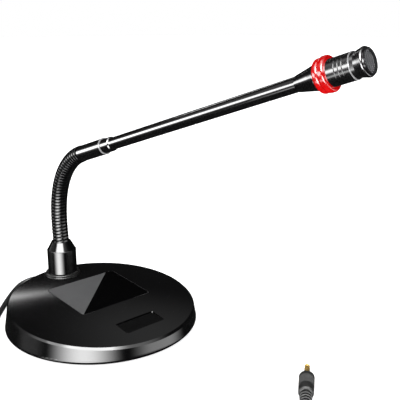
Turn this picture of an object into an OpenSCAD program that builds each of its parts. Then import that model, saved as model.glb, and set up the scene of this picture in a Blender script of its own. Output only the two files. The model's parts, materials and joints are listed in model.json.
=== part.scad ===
// Gooseneck podium microphone: a weighted round base with a talk button, a bendable coil neck, a slim
// boom with a ring light and a microphone head, and a cord with a jack plug. Millimetres.
// Origin: middle of the base's underside. +Z is up, the neck stands near the back (+Y) and leans to the
// front (-Y), and +X is to the right for somebody who sits in front of it and looks at the neck from -Y.

/* [Base] */
// Largest radius of the base, just above the floor
base_r = 70; // [69:0.5:73]
// How far the wall leans in for each millimetre of height
wall_draft = 0.163; // [0.13:0.001:0.19]
// Height of the rim plane at the middle of the base
rim_h = 17.05; // [16.8:0.05:19]
// Rise of the rim plane towards the back, in degrees
top_tilt = 4.8; // [4:0.1:5.2]
// Rise of the domed top above the rim plane
dome_rise = 3; // [2.8:0.1:3.4]
// Width of the bevel around the rim
rim_bevel = 0.8; // [0.5:0.1:1.2]
// Rounding at the foot of the wall
foot_round = 2.5; // [1.5:0.5:3]
// Thickness of the top at the rim
top_skin = 1.6; // [1.4:0.1:1.8]
// Inside radius of the shell
cavity_r = 65; // [64.8:0.1:65.4]
// Distance of the base screws from the middle
screw_ring_r = 59; // [58.6:0.2:60]

/* [Plate, pad and ballast] */
// Radius of the anti-slip pad
pad_r = 66.5; // [65:0.5:67]
// Thickness of the anti-slip pad
pad_t = 1; // [0.8:0.1:1.2]
// Thickness of the steel base plate
plate_t = 1.6; // [1.4:0.1:1.8]
// Radius of the ballast disc
ballast_r = 55.5; // [50:0.5:55.5]
// Thickness of the ballast disc
ballast_t = 7.5; // [6:0.5:7.5]
// Front edge of the ballast, behind the circuit board
ballast_front_y = -24; // [-26:1:-10]

/* [Badge and talk button] */
// Width of the badge panel
badge_x = 59.6; // [50:0.2:61]
// Depth of the badge panel
badge_y = 48.8; // [45:0.2:50]
// Middle of the badge panel, to the right
badge_mid_x = 3; // [0:0.5:3]
// Middle of the badge panel, to the back
badge_mid_y = 8.2; // [6:0.2:9]
// Thickness of the badge panel
badge_t = 1.4; // [1.3:0.1:1.5]
// Height of the badge's face above the rim plane
badge_top = 2.6; // [2.4:0.1:2.8]
// Corner radius of the badge panel
badge_corner = 3; // [1:0.5:5]
// Width of the talk button
button_x = 31.6; // [26:0.2:32]
// Depth of the talk button
button_y = 12.9; // [11:0.1:13.2]
// Middle of the talk button
button_mid_y = -46; // [-47:0.5:-45]
// Height of the button's face above the rim plane
button_top = 1; // [0.8:0.1:1.4]
// Travel of the talk button
button_travel = 0.8; // [0.4:0.1:0.8]

/* [Collar] */
// Distance of the collar behind the middle of the base
collar_y = 53; // [51:0.5:53]
// Radius of the ribbed washer under the collar
washer_r = 13.6; // [12.4:0.2:13.6]
// Height of the ribbed washer
washer_h = 2.9; // [2.4:0.1:3.2]
// Radius of the collar's cylinder
collar_r = 11.2; // [10.4:0.2:11.8]
// Height of the collar's cylinder
collar_h = 18.6; // [16:0.2:20]
// Height of the collar's cone
cone_h = 6.3; // [5.5:0.1:7]
// Radius of the cone's top
cone_top_r = 7.4; // [7.2:0.1:8]

/* [Neck] */
// Outside radius of the coil neck
neck_r = 5.95; // [5.8:0.05:6]
// Length of one neck link, three coils
link_len = 8.6; // [8.4:0.1:9.4]
// Lean of the neck at the collar, in degrees, negative to the back
start_lean = -4; // [-6:1:0]
// Lean of the boom from the vertical, in degrees
boom_lean = 71.8; // [60:0.2:75]
// How late the bend comes along the neck
bend_power = 1.78; // [1.4:0.02:1.9]
// Turn of the neck's plane about the collar, in degrees
neck_turn = 5.8; // [-10:0.2:10]

/* [Boom] */
// Length from the last neck joint to the tube's front end
boom_len = 189.3; // [160:0.1:220]
// Outside radius of the boom tube
tube_r = 4.3; // [4.2:0.05:4.35]
// Wall of the boom tube
tube_wall = 0.6; // [0.5:0.1:0.8]
// Outside radius of the ferrule
ferrule_r = 5.8; // [5.6:0.1:5.9]
// Length of the ferrule
ferrule_len = 26.4; // [24:0.2:32]
// Outside radius of the sleeve in front of the ferrule
sleeve_r = 5.1; // [5:0.1:5.4]
// Length of the sleeve in front of the ferrule
sleeve_len = 8.5; // [6:0.5:12]

/* [Head] */
// Distances from the tube's front end: rear cone
cone_start = 2.6; // [2:0.1:3]
// Front end of the rear cone
cone_end = 16.2; // [16:0.1:16.4]
// Radius of the light ring's rear band
band_rear_r = 9.3; // [9:0.1:9.5]
// Radius of the light ring's front band
band_front_r = 9.7; // [9.5:0.1:10]
// Front end of the light ring
light_end = 23.6; // [23.4:0.1:24]
// Radius of the barrel
barrel_r = 7.3; // [7.2:0.05:7.5]
// Front end of the barrel
barrel_end = 36.4; // [36.2:0.1:36.6]
// Front end of the head
head_end = 45; // [44.9:0.1:45.2]
// Largest radius of the front cap
cap_r = 7.86; // [7.7:0.02:8]
// Radius of the microphone capsule
capsule_r = 4.85; // [4.5:0.05:4.9]

/* [Cord and plug] */
// Diameter of the cord
cord_d = 4; // [3.8:0.1:4]
// Height of the cord's exit above the floor
exit_h = 8.5; // [8.4:0.1:8.6]
// Middle of the coil, X
coil_x = -50; // [-50:0.5:-50]
// Middle of the coil, Y
coil_y = -171; // [-171:0.5:-171]
// Radius of the plug's handle
plug_r = 4.9; // [4.6:0.1:4.9]
// Length of the plug's handle
plug_len = 19; // [18:0.5:20]
// Radius of the plug's contacts
jack_r = 1.75; // [1.75:0.01:1.75]

/* [Hidden] */
$fn = 72;

// Small distances used all over
slip = 0.05;
over = 1;
wide = 2 * base_r;

// Base
rim_r = base_r - wall_draft * (rim_h - pad_t - foot_round);
wall_top = rim_h + wide * sin(top_tilt) / 2 + over;
dome_r = (rim_r * rim_r + dome_rise * dome_rise) / (2 * dome_rise);
rim_shift_y = -wall_draft * rim_r * sin(top_tilt);
plate_top = pad_t + plate_t;
plate_r = cavity_r - 0.4;
post_r = 2.8;
m3_r = 1.4;
m3_head_r = 2.8;
m3_head_h = 0.95;
m3_len = 9;
screw_angles = [45, 135, 225, 315];

// Talk button, switch and board, as heights from the rim plane
button_corner = 0.8;
button_gap = 0.4;
flange_x = button_x + 3.4;
flange_y = button_y + 3.4;
flange_top = -top_skin - 0.2;
flange_t = 1;
nub_r = 1.5;
nub_end = -3.3;
switch_top = -4.2;
switch_side = 6;
board_top = -7.2;
board_t = 1.2;
board_x = 50;
board_y = 26;
board_mid_y = -45;
board_posts = [[-21.5, -35], [21.5, -35], [-21.5, -55], [21.5, -55]];
m2_r = 0.95;
m2_head_r = 1.9;
m2_head_h = 1.1;
m2_len = 4.5;
plunger_r = 1.75;

// Collar
seat_z = rim_h + 5.15;
collar_z = seat_z + washer_h;
cone_z = collar_z + collar_h;
neck_z = cone_z + cone_h;
stem_r = 8;
nut_top = rim_h + 0.95;
nut_h = 3.5;
stem_z = nut_top - nut_h - 0.3;
mouth_r = 6.6;
mouth_depth = 3.5;
cable_bore_r = 3.2;
cable_r = 1.25;

// Cord exit
gland_wall_y = base_r - 1.4;
gland_tip_y = base_r + 13;
cord_r = cord_d / 2;

// Neck: the lean of each link, and where each link starts, as [forward, up] from the collar's axis
links = 10;
bead_r = 1.1;
bead_inset = 1.975;
bead_pitch = (link_len - 2 * bead_inset) / 2;
function lean_at(i) = start_lean + (boom_lean - start_lean) * pow((i - 0.5) / links, bend_power);
function joint_at(i) =
    i == 0 ? [0, neck_z] : joint_at(i - 1) + link_len * [sin(lean_at(i)), cos(lean_at(i))];
boom_at = joint_at(links);

// Boom, as distances from the last neck joint
ferrule_start = 0.3;
ring_start = ferrule_start + ferrule_len + slip;
ring_w = 0.8;
sleeve_start = ring_start + ring_w + slip;
tube_start = 12;
tube_in_cone = 8;

// Head, as distances from the tube's front end
liner_r = 5.8;
liner_bore_r = 4.9;
liner_start = 13.2;
light_start = cone_end + slip;
band_split = 19.8;
band_overlap = 0.2;
light_hollow = [17.4, 22.2];
light_bore_r = 7.1;
strip_t = 0.3;
chips = 6;
spigot_r = 6.35;
cap_bore_r = 5.6;
cap_start = barrel_end + 0.65;
mesh_at = 43.15;
mesh_r = 6.55;
mesh_t = 0.7;

// Coil: two layers of turns, lying on the tie's thickness
tie_t = 0.6;
tie_w = 8;
coil_out_r = 31;
coil_in_r = 10.6;
coil_turn_r = 29;
coil_h = 2 * cord_d + 0.2;
layer_1 = tie_t + cord_r;
layer_2 = layer_1 + cord_d + 0.1;

// Plug, as distances from the handle's back end
plug_at = [23.6, -171.8];
plug_yaw = 36.4;
relief_len = 14;
relief_r = 3.8;
flange_at = plug_len;
sleeve_at = plug_len + 1;
gap_2_at = sleeve_at + 4.9;
ring_at = gap_2_at + 0.7;
gap_1_at = ring_at + 3.2;
tip_at = gap_1_at + 0.4;
tip_len = 5.3;

// Free cord from the gland to the coil, then from the coil to the plug: points chosen by hand
lead_base_route = [
    [0, 68, exit_h], [0, 76, exit_h], [0, 83, exit_h], [-0.8, 88.5, 8.2], [-4, 93.5, 7.2],
    [-10, 96, 5.8], [-16.5, 95.3, 4.3], [-23, 91.5, 3], [-30, 85.3, 2.2], [-37, 78, cord_r],
    [-44, 70, cord_r], [-51, 62, cord_r], [-58, 53.5, cord_r], [-65, 44.5, cord_r],
    [-72, 35, cord_r], [-79, 24.5, cord_r], [-86, 12.5, cord_r], [-93, -1.5, cord_r],
    [-100, -16.5, cord_r], [-106.5, -32, cord_r], [-111.5, -48, cord_r], [-113, -65, cord_r],
    [-110, -82, cord_r], [-104, -98.5, cord_r], [-96.5, -115, cord_r], [-88.5, -132.5, cord_r],
    [-82, -151, 2.2], [coil_x - coil_turn_r, coil_y, layer_1]
];
lead_plug_route = [
    [coil_x, coil_y - coil_turn_r, layer_2], [-42, -200.2, 6], [-34, -199.8, 4.6],
    [-26, -198.6, 3.4], [-18.5, -196.4, 2.7], [-11.5, -193.4, 2.5], [-4.5, -189.7, 2.9],
    [1.6, -186.4, 3.8], [7.2, -183.4, 4.6], [12.3, -180.1, plug_r], [16.4, -177.1, plug_r]
];
inner_cable_route = [
    [0, collar_y, 34], [0, collar_y, 24], [0, collar_y, 17], [0, collar_y - 0.4, 14.5],
    [0, collar_y - 2.2, 12.7], [0, collar_y - 6, 12.1], [0.3, collar_y - 12, 12.1], [1, 28, 12.1],
    [2, 12, 12.1], [3, -4, 12.1], [4, -17, 12.1], [5, -26, 11.6], [6, -33.5, 9.2]
];

// ---- shared shapes ----

// Places a child in the frame of the tilted top, whose XY plane is the rim plane.
module on_top() {
    translate([0, 0, rim_h]) rotate([top_tilt, 0, 0]) children();
}

// Everything under a plane of the tilted frame.
module below_top(z) {
    on_top() translate([-wide, -wide, z - wide]) cube([2 * wide, 2 * wide, wide]);
}

// Places a child in the neck's plane, at a point [forward, up], with +Z along a lean.
module in_neck(at, lean) {
    translate([0, collar_y, 0])
        rotate([0, 0, neck_turn])
            translate([0, -at[0], at[1]])
                rotate([lean, 0, 0]) children();
}

module on_boom(d) {
    in_neck(boom_at, boom_lean) translate([0, 0, d]) children();
}

module on_head(d) {
    on_boom(boom_len + d) children();
}

module on_plug(d) {
    translate([plug_at[0], plug_at[1], plug_r])
        rotate([0, 0, plug_yaw])
            rotate([0, 90, 0])
                translate([0, 0, d]) children();
}

module block(x, y, z) {
    translate([-x / 2, -y / 2, 0]) cube([x, y, z]);
}

module rounded_block(x, y, z, r) {
    union() {
        block(x - 2 * r, y, z);
        block(x, y - 2 * r, z);
        for (sx = [-1, 1], sy = [-1, 1])
            translate([sx * (x / 2 - r), sy * (y / 2 - r), 0]) cylinder(h = z, r = r);
    }
}

module tube(h, r_out, r_in) {
    difference() {
        cylinder(h = h, r = r_out);
        translate([0, 0, -over]) cylinder(h = h + 2 * over, r = r_in);
    }
}

// A ring with a round edge, such as a coil of the neck: solid from r_in to its round outside.
module bead(r_out, r_edge, r_in) {
    rotate_extrude() {
        translate([r_in, -r_edge]) square([r_out - r_edge - r_in, 2 * r_edge]);
        translate([r_out - r_edge, 0]) circle(r_edge);
    }
}

// A swept cord: rings of points along a smooth line through the route.
function unit(v) = v / norm(v);
function smooth_pt(r, i, t) =
    let (a = r[max(i - 1, 0)], b = r[i], c = r[i + 1], d = r[min(i + 2, len(r) - 1)])
    0.5 * (2 * b + (c - a) * t + (2 * a - 5 * b + 4 * c - d) * t * t
        + (3 * b - a - 3 * c + d) * t * t * t);
function smooth_line(r, steps) =
    concat([for (i = [0:len(r) - 2], k = [0:steps - 1]) smooth_pt(r, i, k / steps)], [r[len(r) - 1]]);
function heading(p, i) = unit(p[min(i + 1, len(p) - 1)] - p[max(i - 1, 0)]);
function side_of(p, i) =
    let (h = heading(p, i), s = cross(h, [0.02, 0.05, 1]))
    norm(s) < 0.2 ? unit(cross(h, [1, 0, 0])) : unit(s);

module swept_cord(route, r, sides, steps) {
    p = smooth_line(route, steps);
    n = len(p);
    points = [
        for (i = [0:n - 1], k = [0:sides - 1])
            let (s = side_of(p, i), u = cross(s, heading(p, i)), a = 360 * k / sides)
            p[i] + r * (s * cos(a) + u * sin(a))
    ];
    walls = [
        for (i = [0:n - 2], k = [0:sides - 1])
            let (a = i * sides + k, b = i * sides + (k + 1) % sides)
            each [[a, a + sides, b], [b, a + sides, b + sides]]
    ];
    caps = [
        [for (k = [0:sides - 1]) k],
        [for (k = [sides - 1:-1:0]) (n - 1) * sides + k]
    ];
    polyhedron(points = points, faces = concat(walls, caps), convexity = 8);
}

// ---- base ----

module anti_slip_pad() {
    color("#242424") difference() {
        cylinder(h = pad_t, r = pad_r);
        for (a = screw_angles)
            rotate([0, 0, a]) translate([screw_ring_r, 0, -over])
                cylinder(h = pad_t + 2 * over, r = m3_head_r + 0.7);
    }
}

module base_plate() {
    color("#8d9094") difference() {
        translate([0, 0, pad_t]) cylinder(h = plate_t, r = plate_r);
        for (a = screw_angles)
            rotate([0, 0, a]) translate([screw_ring_r, 0, 0]) {
                cylinder(h = plate_top + over, r = m3_r + 0.1);
                cylinder(h = pad_t + m3_head_h + slip, r = m3_head_r + 0.1);
            }
    }
}

module base_screws() {
    color("#b9bcc0")
        for (a = screw_angles)
            rotate([0, 0, a]) translate([screw_ring_r, 0, pad_t]) difference() {
                union() {
                    cylinder(h = m3_head_h, r = m3_head_r);
                    cylinder(h = m3_len, r = m3_r);
                }
                translate([0, 0, -over]) cylinder(h = over + 0.6, r = 1.1, $fn = 6);
            }
}

module ballast_weight() {
    color("#5c5f63") intersection() {
        translate([0, 0, plate_top + slip]) cylinder(h = ballast_t, r = ballast_r);
        translate([-wide, ballast_front_y, 0]) cube([2 * wide, wide, wide]);
    }
}

// The domed top with its bevelled rim, about the tilted axis: everything that lies under it.
module top_cap() {
    rotate_extrude($fn = 144) intersection() {
        translate([0, dome_rise - dome_r]) circle(dome_r, $fn = 3600);
        polygon([
            [0, -2 * rim_h], [rim_r - rim_bevel + 2 * rim_h, -2 * rim_h],
            [rim_r - rim_bevel - rim_h, rim_h], [0, rim_h]
        ]);
    }
}

module shell_outside() {
    intersection() {
        rotate_extrude($fn = 144) {
            polygon([
                [0, pad_t], [base_r - foot_round, pad_t], [base_r - foot_round, pad_t + foot_round],
                [base_r, pad_t + foot_round],
                [base_r - wall_draft * (wall_top - pad_t - foot_round), wall_top], [0, wall_top]
            ]);
            translate([base_r - foot_round, pad_t + foot_round]) circle(foot_round);
        }
        on_top() translate([0, rim_shift_y, 0]) top_cap();
    }
}

module shell_posts() {
    intersection() {
        union() {
            for (a = screw_angles)
                rotate([0, 0, a]) translate([screw_ring_r, 0, plate_top + slip])
                    cylinder(h = wall_top, r = post_r);
            translate([0, collar_y, nut_top]) cylinder(h = rim_h, r = stem_r + 5.4);
            for (p = board_posts)
                on_top() translate([p[0], p[1], board_top]) cylinder(h = -board_top, r = 2.6);
        }
        below_top(-top_skin / 2);
        cylinder(h = wall_top, r = cavity_r + over);
    }
}

module shell_cuts() {
    translate([0, collar_y, seat_z]) cylinder(h = wall_top, r = washer_r + 0.1);
    translate([0, collar_y, 0]) cylinder(h = wall_top, r = stem_r + 0.1);
    on_top() {
        translate([badge_mid_x, badge_mid_y, badge_top - badge_t])
            rounded_block(badge_x + 0.2, badge_y + 0.2, badge_t + dome_rise, badge_corner + 0.1);
        translate([0, button_mid_y, -top_skin - over])
            rounded_block(button_x + 2 * button_gap, button_y + 2 * button_gap,
                top_skin + dome_rise + 2 * over, button_corner + button_gap);
        for (p = board_posts)
            translate([p[0], p[1], board_top - over]) cylinder(h = m2_len + over, r = m2_r + slip);
    }
    for (a = screw_angles)
        rotate([0, 0, a]) translate([screw_ring_r, 0, 0])
            cylinder(h = pad_t + m3_len + slip, r = m3_r + slip);
    translate([0, 0, exit_h]) rotate([-90, 0, 0]) {
        translate([0, 0, gland_wall_y - 2 * foot_round - 3]) cylinder(h = base_r, r = 5 + slip);
        translate([0, 0, gland_wall_y]) cylinder(h = base_r, r = 6.1);
    }
}

module base_shell() {
    color("#17181a") difference() {
        union() {
            difference() {
                shell_outside();
                intersection() {
                    cylinder(h = wall_top, r = cavity_r);
                    below_top(-top_skin);
                }
            }
            shell_posts();
        }
        shell_cuts();
    }
}

module badge_panel() {
    color("#2c2e31") on_top() translate([badge_mid_x, badge_mid_y, badge_top - badge_t])
        rounded_block(badge_x, badge_y, badge_t, badge_corner);
}

module talk_button() {
    color("#101113") on_top() translate([0, button_mid_y, 0]) union() {
        translate([0, 0, flange_top - slip])
            rounded_block(button_x, button_y, button_top - flange_top + slip, button_corner);
        translate([0, 0, flange_top - flange_t]) block(flange_x, flange_y, flange_t);
        translate([0, 0, nub_end]) cylinder(h = flange_top - nub_end, r = nub_r);
    }
}

module switch_plunger() {
    color("#e8e8e4") on_top() translate([0, button_mid_y, switch_top - 0.7])
        cylinder(h = nub_end - slip - switch_top + 0.7, r = plunger_r);
}

module tact_switch() {
    color("#3b3d40") on_top() translate([0, button_mid_y, board_top]) difference() {
        block(switch_side, switch_side, switch_top - board_top);
        translate([0, 0, switch_top - board_top - 1.8]) cylinder(h = 2, r = plunger_r + 0.1);
    }
}

module circuit_board() {
    color("#1f5a34") on_top() translate([0, 0, board_top - board_t]) {
        difference() {
            translate([0, board_mid_y, 0]) block(board_x, board_y, board_t);
            for (p = board_posts)
                translate([p[0], p[1], -over]) cylinder(h = board_t + 2 * over, r = m2_r + 0.15);
        }
        translate([6, -37.5, board_t]) block(7, 4.5, 3);
        translate([-11, -39, board_t]) block(6, 5, 1.4);
    }
}

module board_screws() {
    color("#b9bcc0") on_top()
        for (p = board_posts)
            translate([p[0], p[1], board_top - board_t]) union() {
                translate([0, 0, -m2_head_h]) cylinder(h = m2_head_h, r = m2_head_r);
                cylinder(h = m2_len, r = m2_r);
            }
}

module inner_cable() {
    color("#1b1b1b") swept_cord(inner_cable_route, cable_r, 8, 2);
}

// ---- collar and cord exit ----

module collar_washer() {
    edge = washer_h / 4;
    color("#0f1012") translate([0, collar_y, seat_z]) union() {
        translate([0, 0, edge]) bead(washer_r, edge, stem_r + 0.1);
        translate([0, 0, 3 * edge]) bead(washer_r - 0.3, edge, stem_r + 0.1);
    }
}

module collar() {
    bevel = 0.4;
    color("#1c1d1f") translate([0, collar_y, 0]) difference() {
        union() {
            translate([0, 0, stem_z]) cylinder(h = collar_z - stem_z + over, r = stem_r);
            translate([0, 0, collar_z]) cylinder(h = bevel, r1 = collar_r - bevel, r2 = collar_r);
            translate([0, 0, collar_z + bevel]) cylinder(h = collar_h - 2 * bevel, r = collar_r);
            translate([0, 0, cone_z - bevel]) cylinder(h = bevel, r1 = collar_r, r2 = collar_r - bevel);
            translate([0, 0, cone_z]) cylinder(h = cone_h, r1 = collar_r - bevel, r2 = cone_top_r);
        }
        translate([0, 0, stem_z - over]) cylinder(h = neck_z, r = cable_bore_r);
        translate([0, 0, neck_z - mouth_depth]) cylinder(h = mouth_depth + over, r = mouth_r);
    }
}

module collar_nut() {
    color("#9a9da1") translate([0, collar_y, nut_top - nut_h]) difference() {
        cylinder(h = nut_h, r = 11.6, $fn = 6);
        translate([0, 0, -over]) cylinder(h = nut_h + 2 * over, r = stem_r + slip);
    }
}

module cord_gland() {
    tip_r = 2.8;
    boot_r = 4.4;
    boot_y = gland_wall_y + 2.4;
    boot_len = gland_tip_y - boot_y;
    groove_w = 0.9;
    inside_y = cavity_r - 0.2;
    color("#141414") translate([0, 0, exit_h]) rotate([-90, 0, 0]) difference() {
        union() {
            translate([0, 0, inside_y - 3.3]) cylinder(h = 3, r = 5.6);
            translate([0, 0, inside_y - 1]) cylinder(h = gland_wall_y - inside_y + 2, r = 5);
            translate([0, 0, gland_wall_y]) cylinder(h = 2.4, r = 6);
            translate([0, 0, boot_y]) cylinder(h = boot_len, r1 = boot_r, r2 = tip_r);
        }
        translate([0, 0, inside_y - 5]) cylinder(h = 3 * boot_len, r = cord_r + 0.1);
        for (k = [1:4])
            translate([0, 0, boot_y + k * boot_len / 5])
                tube(groove_w, boot_r + over, boot_r - 0.9 - k * (boot_r - tip_r) / 5);
    }
}

// ---- neck ----

module neck_link(i) {
    color("#1a1b1d") in_neck(joint_at(i - 1), lean_at(i)) {
        for (k = [0:2])
            translate([0, 0, bead_inset + k * bead_pitch]) bead(neck_r, bead_r, cable_bore_r);
        translate([0, 0, bead_inset]) tube(2 * bead_pitch, neck_r - 0.75, cable_bore_r);
    }
}

// ---- boom ----

module ferrule() {
    bevel = 0.5;
    color("#141517") on_boom(ferrule_start) difference() {
        union() {
            cylinder(h = bevel, r1 = ferrule_r - bevel, r2 = ferrule_r);
            translate([0, 0, bevel]) cylinder(h = ferrule_len - bevel, r = ferrule_r);
        }
        translate([0, 0, -over]) cylinder(h = ferrule_len + 2 * over, r = cable_bore_r);
        translate([0, 0, tube_start - ferrule_start]) cylinder(h = ferrule_len, r = tube_r + slip);
    }
}

module ferrule_ring() {
    color("#c6c8cb") on_boom(ring_start) tube(ring_w, ferrule_r + 0.12, tube_r + slip);
}

module boom_sleeve() {
    bevel = 0.6;
    color("#141517") on_boom(sleeve_start) difference() {
        union() {
            cylinder(h = sleeve_len - bevel, r = sleeve_r);
            translate([0, 0, sleeve_len - bevel]) cylinder(h = bevel, r1 = sleeve_r, r2 = sleeve_r - bevel);
        }
        translate([0, 0, -over]) cylinder(h = sleeve_len + 2 * over, r = tube_r + slip);
    }
}

module boom_tube() {
    color("#101113") on_boom(tube_start)
        tube(boom_len + tube_in_cone - tube_start, tube_r, tube_r - tube_wall);
}

module boom_cable() {
    color("#1b1b1b") on_boom(3) cylinder(h = boom_len + 30.6, r = cable_r);
}

// ---- head ----

module rear_cone() {
    color("#141517") on_head(0) difference() {
        rotate_extrude() polygon([
            [0, cone_start], [4.6, cone_start], [5.55, 7.4], [6.5, 12.1], [7.25, 15.3],
            [7.25, cone_end], [0, cone_end]
        ]);
        translate([0, 0, cone_start - over])
            cylinder(h = tube_in_cone - cone_start + over, r = tube_r + slip);
        cylinder(h = cone_end, r = cable_bore_r);
        translate([0, 0, liner_start - slip]) cylinder(h = cone_end, r = liner_r + slip);
    }
}

// A ring between two heights with both outer edges rounded.
module rounded_band(low, high, r_out, r_edge, r_in) {
    rotate_extrude() {
        translate([r_in, low]) square([r_out - r_edge - r_in, high - low]);
        translate([r_in, low + r_edge]) square([r_out - r_in, high - low - 2 * r_edge]);
        translate([r_out - r_edge, low + r_edge]) circle(r_edge);
        translate([r_out - r_edge, high - r_edge]) circle(r_edge);
    }
}

module light_ring() {
    color("#e01818") on_head(0) difference() {
        union() {
            rounded_band(light_start, band_split + band_overlap, band_rear_r, 1.5, liner_r);
            rounded_band(band_split - band_overlap, light_end, band_front_r, 1.3, liner_r);
        }
        translate([0, 0, light_start - over]) cylinder(h = light_end, r = liner_r + slip);
        translate([0, 0, light_hollow[0]])
            cylinder(h = light_hollow[1] - light_hollow[0], r = light_bore_r);
    }
}

module light_strip() {
    color("#e6e6e0") on_head(light_hollow[0] + 0.8)
        tube(light_hollow[1] - light_hollow[0] - 1.6, liner_r + slip + strip_t, liner_r + slip);
}

module light_chips() {
    color("#ffd7d0") on_head((light_hollow[0] + light_hollow[1]) / 2)
        for (k = [0:chips - 1])
            rotate([0, 0, 360 * k / chips]) translate([liner_r + slip + strip_t, -0.8, -1.6])
                cube([0.7, 1.6, 3.2]);
}

module head_barrel() {
    groove_at = [28.1, 30.4, 32.6];
    groove_w = 0.55;
    groove_d = 0.45;
    color("#191a1c") on_head(0) difference() {
        union() {
            translate([0, 0, liner_start]) cylinder(h = light_end - liner_start + over, r = liner_r);
            translate([0, 0, light_end + slip]) cylinder(h = barrel_end - light_end - slip, r = barrel_r);
        }
        translate([0, 0, liner_start - over]) cylinder(h = barrel_end, r = liner_bore_r);
        translate([0, 0, barrel_end - 3.4]) cylinder(h = 5, r = spigot_r + slip);
        for (g = groove_at)
            translate([0, 0, g]) tube(groove_w, barrel_r + over, barrel_r - groove_d);
    }
}

module seam_ring() {
    color("#d0d2d5") on_head(barrel_end + slip) tube(0.55, barrel_r + 0.05, spigot_r + slip);
}

module front_cap() {
    neck_in_r = 6.74;
    lip = 0.9;
    color("#141517") on_head(0) difference() {
        union() {
            translate([0, 0, barrel_end - 3.3]) cylinder(h = 4, r = spigot_r);
            translate([0, 0, cap_start]) cylinder(h = 1.75, r1 = 6.96, r2 = neck_in_r);
            translate([0, 0, cap_start + 1.75]) cylinder(h = 2.1, r1 = neck_in_r, r2 = 7.27);
            translate([0, 0, cap_start + 3.85]) cylinder(h = 2.1, r1 = 7.27, r2 = cap_r);
            translate([0, 0, head_end - 2 * lip]) bead(cap_r, lip, cap_bore_r);
            translate([0, 0, head_end - 2 * lip]) cylinder(h = 1.7, r = cap_r - lip);
        }
        translate([0, 0, barrel_end - 4]) cylinder(h = head_end, r = cap_bore_r);
        translate([0, 0, mesh_at - slip]) cylinder(h = 5, r = mesh_r + slip);
    }
}

module grille_ring() {
    color("#b9bbbf") on_head(mesh_at + mesh_t + slip)
        tube(head_end - mesh_at - mesh_t - slip, mesh_r, mesh_r - 0.65);
}

module grille_mesh() {
    color("#77797d") on_head(mesh_at) cylinder(h = mesh_t, r = mesh_r);
}

module foam_disc() {
    color("#2a2a2a") on_head(mesh_at - 2) cylinder(h = 1.9, r = cap_bore_r - 0.1);
}

module capsule_holder() {
    color("#1a1a1a") on_head(34.6) difference() {
        cylinder(h = 6.2, r = cap_bore_r - slip);
        translate([0, 0, -over]) cylinder(h = 6.2 + 2 * over, r = capsule_r + slip);
        for (a = [0, 90])
            rotate([0, 0, a]) translate([0, 0, 5.6]) block(3 * cap_bore_r, 1.5, 1);
    }
}

module mic_capsule() {
    color("#c3c5c8") on_head(34) difference() {
        cylinder(h = 6.5, r = capsule_r);
        translate([0, 0, 6]) cylinder(h = 1, r = 1);
        for (k = [0:5])
            rotate([0, 0, 60 * k]) translate([2.6, 0, 6]) cylinder(h = 1, r = 0.5);
    }
}

// ---- cord, coil and plug ----

module cord_lead_base() {
    color("#141414") swept_cord(lead_base_route, cord_r, 10, 2);
}

module cord_lead_plug() {
    color("#141414") swept_cord(lead_plug_route, cord_r, 10, 1);
}

module cord_coil() {
    edge = 2;
    color("#161616") translate([coil_x, coil_y, tie_t]) rotate_extrude() {
        translate([coil_in_r, edge]) square([coil_out_r - coil_in_r, coil_h - 2 * edge]);
        translate([coil_in_r + edge, 0]) square([coil_out_r - coil_in_r - 2 * edge, coil_h]);
        for (x = [coil_in_r + edge, coil_out_r - edge], y = [edge, coil_h - edge])
            translate([x, y]) circle(edge);
    }
}

module coil_tie() {
    inner = coil_in_r - 0.85;
    outer = coil_out_r + slip;
    color("#2b2b2b") translate([coil_x, coil_y, 0]) rotate([0, 0, 40]) difference() {
        translate([inner - tie_t, -tie_w / 2, 0])
            cube([outer - inner + 2 * tie_t, tie_w, coil_h + 2 * tie_t]);
        translate([inner, -tie_w, tie_t]) cube([outer - inner, 2 * tie_w, coil_h]);
    }
}

module plug_relief() {
    ribs = 5;
    rib_pitch = (relief_len - 1) / ribs;
    color("#131313") on_plug(-relief_len) difference() {
        union() {
            cylinder(h = relief_len, r1 = 2.7, r2 = 3.1);
            for (k = [0:ribs - 1])
                translate([0, 0, k * rib_pitch])
                    cylinder(h = rib_pitch - 0.9, r = 3 + (relief_r - 3) * (k + 1) / ribs);
        }
        translate([0, 0, -over]) cylinder(h = relief_len - 6, r = cord_r + 0.1);
    }
}

module plug_handle() {
    back_r = plug_r - 0.25;
    round_r = 1.2;
    grooves = 8;
    groove_pitch = 1.1;
    color("#161616") on_plug(0) difference() {
        union() {
            translate([0, 0, round_r]) bead(back_r, round_r, 0.5);
            cylinder(h = 2 * round_r, r = back_r - round_r);
            translate([0, 0, round_r]) cylinder(h = plug_len - round_r - 0.5, r1 = back_r, r2 = plug_r);
            translate([0, 0, plug_len - 0.5]) cylinder(h = 0.5, r1 = plug_r, r2 = plug_r - 0.5);
        }
        for (k = [0:grooves - 1])
            translate([0, 0, 7 + k * groove_pitch]) tube(0.5, plug_r + over, plug_r - 0.5);
        translate([0, 0, plug_len - 6]) cylinder(h = 7, r = 1.3);
    }
}

module plug_flange() {
    color("#d3ab4f") on_plug(flange_at) tube(1, 3.25, 1.3);
}

module plug_sleeve() {
    color("#d3ab4f") on_plug(sleeve_at) tube(gap_2_at - sleeve_at, jack_r, 1.25);
}

module plug_ring() {
    color("#d3ab4f") on_plug(ring_at) tube(gap_1_at - ring_at, jack_r, 1.25);
}

module plug_insulators() {
    color("#181818") on_plug(0) difference() {
        union() {
            translate([0, 0, plug_len - 5]) cylinder(h = tip_at - plug_len + 5, r = 1.2);
            translate([0, 0, gap_2_at]) cylinder(h = ring_at - gap_2_at, r = jack_r);
            translate([0, 0, gap_1_at]) cylinder(h = tip_at - gap_1_at, r = jack_r);
        }
        translate([0, 0, plug_len - 4]) cylinder(h = plug_len, r = 0.7);
    }
}

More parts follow.
